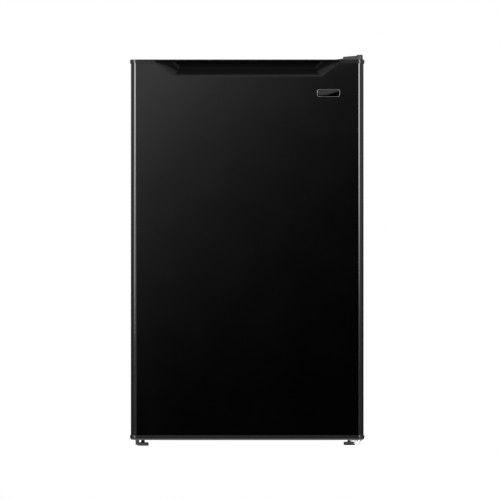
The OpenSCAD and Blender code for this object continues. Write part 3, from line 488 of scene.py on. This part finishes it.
def door_skin():
    """Folded sheet: one outline from lip to lip, with the front notched for the pocket handle."""
    low, high = node_box("door_skin")
    lip = 0.012
    arc = 16
    gap_x, gap_z = 0.0006, 0.0001
    notch_bottom = DOOR_TOP - POCKET_H - gap_z
    notch_low = POCKET_BOTTOM_W / 2 + gap_x
    slope = (POCKET_TOP_W - POCKET_BOTTOM_W) / 2 / POCKET_H
    notch_high = notch_low + (high.z - notch_bottom) * slope
    corner_x = high.x - DOOR_EDGE_R
    half = [(high.x - lip, high.y), (high.x, high.y)]
    for i in range(arc + 1):
        angle = radians(90 * i / arc)
        half.append((corner_x + DOOR_EDGE_R * cos(angle), low.y + DOOR_EDGE_R - DOOR_EDGE_R * sin(angle)))
    half.append((notch_low, low.y))
    path = [(-a, b) for a, b in half] + half[::-1]
    last = len(half) - 1

    def build(work):
        rows = []
        for level in (low.z, notch_bottom, high.z):
            row = []
            for i, (a, b) in enumerate(path):
                if level == high.z and i in (last, last + 1):
                    a = notch_high if a > 0 else -notch_high
                row.append(work.verts.new((a, b, level)))
            rows.append(row)
        for low_row, high_row in zip(rows, rows[1:]):
            for i in range(len(path) - 1):
                if high_row is rows[2] and i == last:
                    continue
                work.faces.new((low_row[i], low_row[i + 1], high_row[i + 1], high_row[i]))

    mesh = finished_mesh("door_front_sheet", build)
    skin = add_piece("door_front_sheet", mesh, "door", "gloss_black_steel", ["door_skin"])
    thick = skin.modifiers.new("sheet", "SOLIDIFY")
    thick.thickness = SHEET
    thick.offset = -1
    soften(skin, 0.0002)


def door_bottom_cap():
    """End cap with a rounded lower edge and a tongue inside the sheet, bored for both hinge bushings."""
    low, high = node_box("door_bottom_cap")
    skin_low, skin_high = node_box("door_skin")
    top = skin_low.z
    inside = SHEET + 0.0001
    outer_r = DOOR_EDGE_R + 0.001
    tongue_r = DOOR_EDGE_R - 0.001
    round_r = 0.0035
    rim_r = 0.0007
    bore_r = 0.00705

    def ring(inset, level):
        return plan_outline(high.x - inset, low.y + inset, high.y - inset, outer_r - inset, level)

    rings = []
    for i in range(8):
        angle = radians(90 * i / 7)
        rings.append(ring(round_r * (1 - sin(angle)), low.z + round_r * (1 - cos(angle))))
    for i in range(4):
        angle = radians(90 * i / 3)
        rings.append(ring(rim_r * (1 - cos(angle)), top - rim_r + rim_r * sin(angle)))
    for level in (top, high.z):
        rings.append(plan_outline(skin_high.x - inside, skin_low.y + inside, skin_high.y - inside, tongue_r,
                                  level))
    form = finished_mesh("form", lambda work: loft(work, rings))

    def bores(work):
        for side in (-1, 1):
            lathe(work, [(bore_r, -0.01), (bore_r, 0.05)], (side * HINGE_X, HINGE_Y, low.z))

    mesh = carved(form, finished_mesh("bores", bores))
    mesh.shade_smooth()
    mesh.set_sharp_from_angle(angle=radians(40))
    cap = add_piece("door_lower_cap", mesh, "door", "black_plastic", ["door_bottom_cap"])
    even = cap.modifiers.new("even_shading", "WEIGHTED_NORMAL")
    even.keep_sharp = True


def grip_wall():
    """Back of the pocket handle, which leans forwards over the fingers."""
    back_y = DOOR_FRONT + POCKET_DEPTH - 0.0001
    steps = 6
    # Half width, level and front face, at the wall's bottom and at its top
    bottom = (0.1155, DOOR_TOP - 0.0445, back_y - 0.0006)
    top = (0.1505, DOOR_TOP - 0.0027, back_y - 0.0059)

    def level_ring(share):
        half_width, z, front_y = (a + (b - a) * share for a, b in zip(bottom, top))
        return [(-half_width, front_y, z), (half_width, front_y, z), (half_width, back_y, z),
                (-half_width, back_y, z)]

    rings = [level_ring(i / steps) for i in range(steps + 1)]
    mesh = finished_mesh("grip_wall", lambda work: loft(work, rings))
    wall = add_piece("grip_wall", mesh, "door", "black_plastic")
    soften(wall, 0.0002)


def hinge_cover():
    """Cover of the top hinge: a shell that rises to the right, with a boss over the pin and a flat tail."""
    low, high = node_box("top_hinge_cover")
    gap_z = DOOR_TOP + 0.0004
    left = HINGE_X - 0.0291
    seam_y = CABINET_FRONT + 0.001
    left_top = high.z - 0.0042
    right_top = high.z - 0.0012
    edge_r = 0.0014
    arc = 4

    def section(y, bottom, inset):
        points = [(left, bottom), (high.x - inset, bottom)]
        right_x = high.x - inset - edge_r
        left_x = left + inset + edge_r
        for corner_x, top, start in ((right_x, right_top, 0), (left_x, left_top, 90)):
            for i in range(arc + 1):
                angle = radians(start + 90 * i / arc)
                points.append((corner_x + edge_r * cos(angle), top - inset - edge_r + edge_r * sin(angle)))
        return [(a, y, b) for a, b in points]

    def build(work):
        rings = []
        for i in range(arc + 1):
            angle = radians(90 * i / arc)
            rings.append(section(low.y + edge_r * (1 - sin(angle)), gap_z, edge_r * (1 - cos(angle))))
        rings.append(section(seam_y, gap_z, 0))
        rings.append(section(seam_y, low.z, 0))
        for i in range(arc + 1):
            angle = radians(90 * i / arc)
            rings.append(section(high.y - edge_r * (1 - cos(angle)), low.z, edge_r * (1 - sin(angle))))
        loft(work, rings)

        boss_r = 0.0062
        rounding = ((0, 2.2), (0.4, 1), (1.3, 0.3), (2.6, 0))
        profile = [(boss_r, gap_z)]
        profile += [(boss_r - inset * MM, high.z - drop * MM) for inset, drop in rounding]
        lathe(work, profile, (high.x - boss_r, low.y + boss_r + 0.0002, 0))

        root_x = left + 0.002
        tail = [(low.x, low.z), (root_x, low.z), (root_x, DOOR_TOP + 0.0038),
                (low.x + 0.012, DOOR_TOP + 0.0012), (low.x + 0.002, DOOR_TOP + 0.0008), (low.x, DOOR_TOP)]
        tail_y = (seam_y + 0.006, seam_y + 0.048)
        loft(work, [[(a, y, b) for a, b in tail] for y in tail_y])

    cover = add_piece("hinge_cover", finished_mesh("hinge_cover", build), "cabinet", "matte_black_plastic",
                      ["top_hinge_cover"])
    soften(cover, 0.0003)


def badge():
    """Blank plate: a raised bright rim round a dark gloss inset."""
    low, high = node_box("door_badge")
    corner = 0.004
    rim_w = 0.0006

    def ring(inset, depth):
        outline = rounded_rectangle((low.x + inset, low.z + inset), (high.x - inset, high.z - inset),
                                    corner - inset, 10)
        return [(a, high.y - depth, b) for a, b in outline]

    # Inset and height of the rim's profile, in millimetres
    profile = ((0, 0), (0, 0.4), (0.1, 0.6), (0.3, 0.7), (0.5, 0.6), (0.6, 0.3), (0.6, 0))
    rim_rings = [ring(inset * MM, depth * MM) for inset, depth in profile]
    rim = finished_mesh("badge_rim", lambda work: loft(work, rim_rings, closed=True))
    add_piece("badge_rim", rim, "door", "badge", ["door_badge"])
    inset_rings = [ring(rim_w, 0), ring(rim_w, 0.0002), ring(rim_w + 0.0002, 0.00025)]
    inset = finished_mesh("badge_inset", lambda work: loft(work, inset_rings))
    add_piece("badge_inset", inset, "door", "gloss_black_steel")


def levelling_foot(side):
    """Knurled disc on a threaded stud."""
    node = "levelling_foot_" + side
    low, high = node_box(node)
    centre = ((low.x + high.x) / 2, (low.y + high.y) / 2)
    disc_r = (high.x - low.x) / 2
    lobes = 20
    stud_r = 0.004
    pitch = 0.00125
    thread_depth = 0.0005
    thread_start = 0.0065

    def knurled(radius, level, depth):
        ring = []
        for i in range(lobes * 6):
            turn = 2 * pi * i / (lobes * 6)
            reach = radius - depth * (0.5 + 0.5 * cos(lobes * turn)) ** 2
            ring.append((centre[0] + reach * cos(turn), centre[1] + reach * sin(turn), level))
        return ring

    # Growth of the radius, level and depth of the knurl
    disc = ((-0.0015, 0, 0), (-0.0004, 0.0005, 0.0005), (0, 0.0014, 0.0009), (0, 0.0055, 0.0009),
            (-0.0005, 0.0065, 0.0005), (-0.002, 0.007, 0))
    thread = [(stud_r - thread_depth * (i % 2), thread_start + i * pitch / 2) for i in range(30)]

    def build(work):
        loft(work, [knurled(disc_r + grow, level, depth) for grow, level, depth in disc])
        lathe(work, thread, (centre[0], centre[1], 0), 24)

    add_piece("foot_" + side, finished_mesh("foot_" + side, build, 50), "foot_" + side, "matte_black_plastic",
              [node])


def door_gasket():
    """Bellows seal: one profile carried round the door's inner face."""
    low, high = node_box("door_gasket")
    # Inset and rise of the bellows, in millimetres
    profile = ((2, 0), (0.6, 0.9), (0.3, 1.7), (1.0, 2.6), (2.2, 3.4), (2.4, 4.0), (1.4, 4.8), (0.4, 5.6),
               (0.1, 6.8), (0.1, 9.2), (0.5, 10.2), (1.4, 10.6), (8.6, 10.6), (9, 10.2), (9.4, 10.6),
               (16.2, 10.6), (17.3, 10.1), (17.6, 9.0), (17.2, 6.6), (16.2, 5.4), (15.2, 4.6),
               (15.6, 3.6), (16.8, 2.4),
               (17.2, 1.4), (16.6, 0))
    corner = 0.02

    def ring(inset, rise):
        outline = rounded_rectangle((low.x + inset, low.z + inset), (high.x - inset, high.z - inset),
                                    corner - inset, 8)
        return [(a, low.y + rise, b) for a, b in outline]

    rings = [ring(inset * MM, rise * MM) for inset, rise in profile]
    mesh = finished_mesh("door_seal", lambda work: loft(work, rings, closed=True), 60)
    add_piece("door_seal", mesh, "door", "black_rubber", ["door_gasket"])


def door_liner():
    """Formed inner face of the door: flange, low plateau and two hollow dykes that carry the bins."""
    low, high = node_box("door_liner")
    face_y = low.y + 0.0015
    flange_r = 0.004
    plateau_hw, plateau_bottom, plateau_top, plateau_r = 0.188, 0.062, 0.728, 0.014
    dyke_low, dyke_high, dyke_r = (0.164, 0.07), (0.182, 0.545), 0.0052
    # Inset and height of the plateau's edge above the flange, in millimetres
    plateau_edge = ((0, 0), (0.3, 1.5), (0.6, 3.5), (0.9, 4.6), (1.8, 5.6), (3, 6))
    # Inset and distance of a dyke's foot from the flange, and of its tip from the liner's rearmost face
    dyke_foot = ((-2, 5.5), (-0.8, 6.6), (0, 8.5))
    dyke_tip = ((0.6, 5), (1, 2.8), (1.5, 1.4), (2.6, 0.5), (4, 0))

    def ring(half_width, bottom, top, corner, y):
        return [(a, y, b) for a, b in rounded_rectangle((-half_width, bottom), (half_width, top), corner)]

    def dyke_ring(side, inset, y):
        outline = rounded_rectangle((dyke_low[0] + inset, dyke_low[1] + inset),
                                    (dyke_high[0] - inset, dyke_high[1] - inset), dyke_r - 0.8 * inset)
        return [(side * a, y, b) for a, b in outline]

    def build(work):
        rings = [ring(high.x, low.z, high.z, flange_r, y) for y in (low.y, face_y)]
        for inset, height in plateau_edge:
            inset *= MM
            rings.append(ring(plateau_hw - inset, plateau_bottom + inset, plateau_top - inset,
                              plateau_r - inset, face_y + height * MM))
        loft(work, rings)
        steps = [(inset * MM, face_y + height * MM) for inset, height in dyke_foot]
        steps += [(inset * MM, high.y - depth * MM) for inset, depth in dyke_tip]
        for side in (-1, 1):
            loft(work, [dyke_ring(side, inset, y) for inset, y in steps])

    add_piece("door_inner_face", finished_mesh("door_inner_face", build, 50), "door", "white_liner",
              ["door_liner"])


SCREW_HEAD_H = 0.0024


def screw_template():
    """Pan head with a cross recess, its seat at the origin and its head towards +Z."""
    # Radius and height, in millimetres
    profile = ((3.7, -0.2), (3.75, 0.6), (3.5, 1.3), (2.8, 1.9), (1.6, 2.3))
    points = [(radius * MM, height * MM) for radius, height in profile] + [(0.0006, SCREW_HEAD_H)]
    head = finished_mesh("head", lambda work: lathe(work, points, (0, 0, 0), 32))

    def cross(work):
        arm, half_slot = 0.0021, 0.0005
        corners = [(arm, -half_slot), (arm, half_slot), (half_slot, half_slot)]
        plus = list(corners)
        for _ in range(3):
            corners = [(-y, x) for x, y in corners]
            plus += corners
        loft(work, [[(x * size, y * size, z) for x, y in plus] for size, z in ((0.7, 0.0009), (1, 0.004))])

    return carved(head, finished_mesh("cross", cross))


def rear_screws():
    """Heads of the back panel's and condenser's screws, each turned a little further than the last."""
    backwards = Matrix.Rotation(radians(-90), 4, "X")
    places = []
    for i, (x, y, z) in enumerate(solids_of("rear_screws", 0.01)):
        spin = Matrix.Rotation(radians(37 * i), 4, "Y")
        places.append(Matrix.Translation((x, y - SCREW_HEAD_H, z)) @ spin @ backwards)
    mesh = finished_mesh("panel_screws", copies(screw_template(), places), 50)
    add_piece("panel_screws", mesh, "cabinet", "zinc_steel", ["rear_screws"])


# Routes of the refrigerant tubes, in millimetres
TUBE_Y = 248.7
STUB_X, STUB_Z = -6, 130
DISCHARGE_Y = 180
SUCTION_Y = 140
INLET_X = -212
INLET_Z = STUB_Z + 30
RUN_X = (205, -196)
RUN_TOP = 735
RUN_BOTTOM = 225
RUNS = 12
DRIER_X, DRIER_Y = -150, 200
DRIER_TOP = 149
DRIER_BOTTOM = 80
DRIER_FEED_Z = STUB_Z + 45
SEAL_X, SEAL_Y = -100, 170
SEAL_TOP = 204
SUCTION_X = SEAL_X + 5
CAPILLARY_X = SEAL_X - 6
CAPILLARY_Z = 50


def condenser_corners():
    """Corners of the condenser's tube: up one side, down in level runs, then to the drier."""
    corners = [(INLET_X, TUBE_Y, INLET_Z), (INLET_X, TUBE_Y, RUN_TOP)]
    step = (RUN_TOP - RUN_BOTTOM) / (RUNS - 1)
    for i in range(RUNS - 1):
        for k in (0, 1):
            corners.append((RUN_X[i % 2], TUBE_Y, RUN_TOP - (i + k) * step))
    corners.append((DRIER_X, TUBE_Y, RUN_BOTTOM))
    corners.append((DRIER_X, TUBE_Y, DRIER_FEED_Z))
    corners.append((DRIER_X, DRIER_Y, DRIER_FEED_Z))
    corners.append((DRIER_X, DRIER_Y, DRIER_TOP))
    return corners


def tube(name, corners, diameter, bend, slot, node):
    """Tube along its corners; lengths in millimetres."""
    corners = [Vector(corner) * MM for corner in corners]
    route = rounded_route(corners, bend * MM)
    mesh = finished_mesh(name, lambda work: sweep(work, route, diameter * MM / 2))
    add_piece(name, mesh, "cabinet", slot, [node])


def refrigerant_tubes():
    """Condenser, discharge, suction and capillary tubes of the sealed circuit."""
    tube("condenser_coil", condenser_corners(), 5, 11, "dark_steel", "condenser_tube")
    discharge = [(STUB_X, DISCHARGE_Y, STUB_Z), (STUB_X - 34, DISCHARGE_Y, STUB_Z),
                 (STUB_X - 34, TUBE_Y, STUB_Z), (INLET_X, TUBE_Y, STUB_Z), (INLET_X, TUBE_Y, INLET_Z)]
    tube("discharge_pipe", discharge, 5, 12, "copper", "discharge_tube")
    suction = [(STUB_X, SUCTION_Y, STUB_Z), (SUCTION_X, SUCTION_Y, STUB_Z), (SUCTION_X, SEAL_Y, STUB_Z),
               (SUCTION_X, SEAL_Y, SEAL_TOP)]
    tube("suction_pipe", suction, 6, 9, "copper", "suction_line")
    capillary = [(DRIER_X, DRIER_Y, DRIER_BOTTOM), (DRIER_X, DRIER_Y, CAPILLARY_Z),
                 (CAPILLARY_X, DRIER_Y, CAPILLARY_Z), (CAPILLARY_X, SEAL_Y, CAPILLARY_Z),
                 (CAPILLARY_X, SEAL_Y, SEAL_TOP)]
    tube("capillary", capillary, 2, 10, "copper", "capillary_tube")


def compressor():
    """Welded can with a seam flange, on a pressed foot plate, with its tube stubs."""
    low, high = node_box("compressor")
    centre_x, centre_y = 0.07, 0.16
    can_r = 0.062
    bottom, shoulder = 0.036, 0.066
    upper_shoulder = 0.14
    seam_z = 0.101
    dome_steps = 12
    # Growth of the radius and distance from the seam's middle, in millimetres
    seam = ((0, -4.2), (1.2, -3.6), (2.3, -2.6), (2.5, -1), (2.5, 1.2), (2.1, 2.4), (1, 3.2), (0, 4.2))
    # Inset, bottom and top of the foot plate's two steps
    plate = ((0, 0.034, 0.0375), (0.012, 0.0375, 0.041))
    plate_half_depth = 0.044
    plate_r = 0.02
    stub_r = 0.0045

    profile = []
    for i in range(1, dome_steps + 1):
        angle = radians(90 * i / dome_steps)
        profile.append((can_r * sin(angle), shoulder - (shoulder - bottom) * cos(angle)))
    profile += [(can_r + grow * MM, seam_z + rise * MM) for grow, rise in seam]
    for i in range(dome_steps):
        angle = radians(90 * i / dome_steps)
        profile.append((can_r * cos(angle), upper_shoulder + (high.z - upper_shoulder) * sin(angle)))

    def build(work):
        lathe(work, profile, (centre_x, centre_y, 0), 96)
        for inset, step_bottom, step_top in plate:
            half_depth = plate_half_depth - inset / 2
            outline = rounded_rectangle((low.x + inset, centre_y - half_depth),
                                        (high.x - inset, centre_y + half_depth), plate_r)
            loft(work, [[(a, b, z) for a, b in outline] for z in (step_bottom, step_top)])
        for y in (SUCTION_Y, DISCHARGE_Y):
            sweep(work, [Vector((x, y, STUB_Z)) * MM for x in (STUB_X, 20, 30)], stub_r, 24)

    can = add_piece("compressor_can", finished_mesh("compressor_can", build), "cabinet", "dark_steel",
                    ["compressor"])
    soften(can, 0.0006)


def evaporator_channels():
    """Roll-bond channels: the half-round refrigerant path raised on the freezer's floor."""
    low, high = node_box("evaporator_box")
    wall = 0.0015
    lanes = 5
    margin = 0.02
    channel_r = 0.0022
    bend_r = 0.012
    left, right = low.x + margin, high.x - margin
    front, back = low.y + 0.025, high.y - margin
    floor_z = low.z + wall
    corners = []
    for i in range(lanes):
        y = front + (back - front) * i / (lanes - 1)
        ends = (left, right) if i % 2 == 0 else (right, left)
        corners += [(ends[0], y, floor_z), (ends[1], y, floor_z)]
    route = rounded_route(corners, bend_r)
    mesh = finished_mesh("freezer_channels", lambda work: sweep(work, route, channel_r, 12))
    add_piece("freezer_channels", mesh, "cabinet", "freezer_aluminium")


def dial_marks():
    """Raised marks round the thermostat knob, longer towards the cold end."""
    low, high = node_box("thermostat_knob")
    axis_y = (low.y + high.y) / 2
    axis_z = (low.z + high.z) / 2
    face_x = node_box("thermostat_housing")[0].x
    marks = 7
    ring_r = 0.0185
    mark_rise, mark_width = 0.0004, 0.0009

    def build(work):
        for i in range(marks):
            half_length = 0.001 + 0.00025 * i
            turn = Matrix.Rotation(radians(-135 + 45 * i), 4, "X")
            place = Matrix.Translation((face_x, axis_y, axis_z)) @ turn
            reach = Matrix.Translation((0, 0, ring_r + half_length))
            size = Matrix.Diagonal((mark_rise, mark_width, 2 * half_length, 1))
            bar = bmesh.ops.create_cube(work, size=1)["verts"]
            bmesh.ops.transform(work, matrix=place @ reach @ size, verts=bar)

    add_piece("dial_marks", finished_mesh("dial_marks", build), "cabinet", "grey_plastic")


door_skin()
door_bottom_cap()
grip_wall()
hinge_cover()
badge()
levelling_foot("left")
levelling_foot("right")
door_gasket()
door_liner()
rear_screws()
refrigerant_tubes()
compressor()
evaporator_channels()
dial_marks()

# ---------- Light, floor and background ----------


# Falloff of the light behind the camera: its rate per metre of camera distance, and its start
FADE_RATE = -4.3
FADE_START = -2.37
# Edges of the softboxes by azimuth in degrees, and their strengths
LEFT_BOX, LEFT_STRENGTH = (-54, -31), 13.0
RIGHT_BOX, RIGHT_STRENGTH = (25.6, 44.6), 15.0
BOX_BLUR = 1.5
DIFFUSE_SHARE = 0.45


def world_light():
    """Studio round the object, by direction: dim towards the camera, two tall softboxes, white elsewhere."""
    world = bpy.data.worlds.new("studio")
    bpy.context.scene.world = world
    world.use_nodes = True
    tree = world.node_tree
    tree.nodes.clear()
    place = tree.nodes.new("ShaderNodeTexCoord")
    split = tree.nodes.new("ShaderNodeSeparateXYZ")
    wire(tree, place.outputs["Generated"], split.inputs[0])
    x, y, z = split.outputs
    ahead = calculate(tree, "MULTIPLY", y, -1.0)
    azimuth = calculate(tree, "ARCTAN2", x, ahead)
    elevation = calculate(tree, "ARCSINE", z)

    def times(first, second):
        return calculate(tree, "MULTIPLY", first, second)

    def ramp(value, start, end, low=0.0, high=1.0):
        return smooth_step(tree, value, radians(start), radians(end), low, high)

    def band(value, start, end, blur):
        return times(ramp(value, start - blur, start + blur), ramp(value, end - blur, end + blur, 1.0, 0.0))

    def mixed(first, second, share):
        return calculate(tree, "MULTIPLY_ADD", calculate(tree, "SUBTRACT", second, first), share, first)

    # Behind the camera the light falls off downwards and to the right
    across = calculate(tree, "SUBTRACT", x, z)
    slope = calculate(tree, "DIVIDE", across, calculate(tree, "MAXIMUM", ahead, 0.1))
    fade = calculate(tree, "MULTIPLY_ADD", slope, FADE_RATE * CAMERA_DISTANCE, FADE_START)
    dim = calculate(tree, "MINIMUM", calculate(tree, "EXPONENT", fade), 1.0)
    dim = times(dim, ramp(elevation, -2, 0, 0.35, 1.0))
    near = times(band(azimuth, -16, 16, 5), band(elevation, -40, 40, 10))

    # Walls at the sides and behind the object, under a dark ceiling
    behind = ramp(calculate(tree, "ABSOLUTE", azimuth), 72, 108)
    walls = mixed(ramp(elevation, -2, 1, 0.4, 1.0), ramp(elevation, -1.3, 5.3, 0.08, 1.1), behind)
    walls = times(walls, ramp(elevation, 18, 42, 1.0, 0.35))
    room = mixed(walls, dim, near)

    # Two tall softboxes that lean outwards at their lower ends
    lean = times(ramp(elevation, -2, 2), radians(8))
    top_edge = ramp(elevation, 27, 40, 1.0, 0.0)
    left = times(band(calculate(tree, "SUBTRACT", azimuth, lean), *LEFT_BOX, BOX_BLUR), top_edge)
    lower_rise = ramp(elevation, -0.97, -0.33, 0.0, 0.4)
    upper_rise = ramp(elevation, -0.17, 1.6, 0.0, 0.6)
    left = times(left, calculate(tree, "ADD", lower_rise, upper_rise))
    right = times(band(calculate(tree, "ADD", azimuth, lean), *RIGHT_BOX, BOX_BLUR), top_edge)
    right = times(right, ramp(elevation, -1.0, 1.83))
    total = calculate(tree, "MULTIPLY_ADD", left, LEFT_STRENGTH, room)
    total = calculate(tree, "MULTIPLY_ADD", right, RIGHT_STRENGTH, total)

    path = tree.nodes.new("ShaderNodeLightPath")
    softer = smooth_step(tree, path.outputs["Is Diffuse Ray"], 0.0, 1.0, 1.0, DIFFUSE_SHARE)
    studio = tree.nodes.new("ShaderNodeBackground")
    wire(tree, times(total, softer), studio.inputs["Strength"])
    wire(tree, grey(1.0), studio.inputs["Color"])
    backdrop = tree.nodes.new("ShaderNodeBackground")
    wire(tree, grey(1.0), backdrop.inputs["Color"])
    mix = tree.nodes.new("ShaderNodeMixShader")
    wire(tree, path.outputs["Is Camera Ray"], mix.inputs[0])
    tree.links.new(studio.outputs[0], mix.inputs[1])
    tree.links.new(backdrop.outputs[0], mix.inputs[2])
    output = tree.nodes.new("ShaderNodeOutputWorld")
    tree.links.new(mix.outputs[0], output.inputs["Surface"])


def floor():
    """Pale floor, just larger than the object's footprint."""
    margin = 0.1
    low = [value - margin for value in cad_bounds[0][:2]]
    high = [value + margin for value in cad_bounds[1][:2]]
    thickness = 0.004
    outline = rounded_rectangle(low, high, margin)
    rings = [[(a, b, level) for a, b in outline] for level in (-thickness, 0.0)]
    mesh = finished_mesh("floor", lambda work: loft(work, rings))
    slab = bpy.data.objects.new("floor", mesh)
    mesh.materials.append(emissive_floor())
    bpy.context.collection.objects.link(slab)


world_light()
floor()
